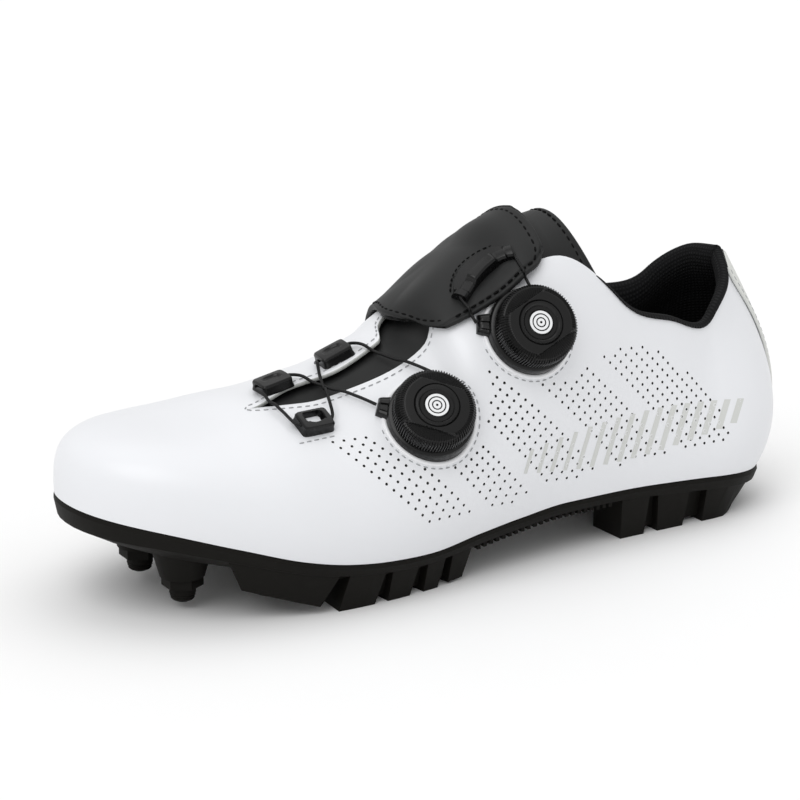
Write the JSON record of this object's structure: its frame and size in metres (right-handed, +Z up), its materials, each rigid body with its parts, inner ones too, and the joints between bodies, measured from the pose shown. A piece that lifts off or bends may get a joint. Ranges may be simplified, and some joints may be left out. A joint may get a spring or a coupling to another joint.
{
  "type": "cycling shoe",
  "caption": "Left off-road cycling shoe with a white shell upper, an instep strap, lace dials on the lateral side and a lugged sole for a recessed cleat.",
  "frame": {"origin": "middle of the shoe's bounding box in plan, on the ground", "axes": "+X towards the heel, so the toe points along -X; -Y is the lateral side with the dials; +Z up"},
  "size_m": [0.2998, 0.108, 0.1271],
  "materials": {
    "white": "satin coated microfibre",
    "black": "soft matt black",
    "rubber": "matt",
    "gloss": "satin moulded",
    "grey": "pale grey reflective"
  },
  "bodies": {
    "root": {"upper": "white", "outsole": "rubber", "toe_stud_lateral": "rubber", "toe_stud_medial": "rubber", "insole": "black", "tongue": "black", "instep_strap": "black", "heel_strip": "grey", "dial_front_base": "gloss", "dial_front_knob": "gloss", "dial_rear_base": "gloss", "dial_rear_knob": "gloss", "guide_lateral": "gloss", "guide_medial_front": "gloss", "guide_medial_rear": "gloss", "strap_guide": "gloss", "lace_front": "black", "lace_rear": "black"}
  },
  "joints": []
}
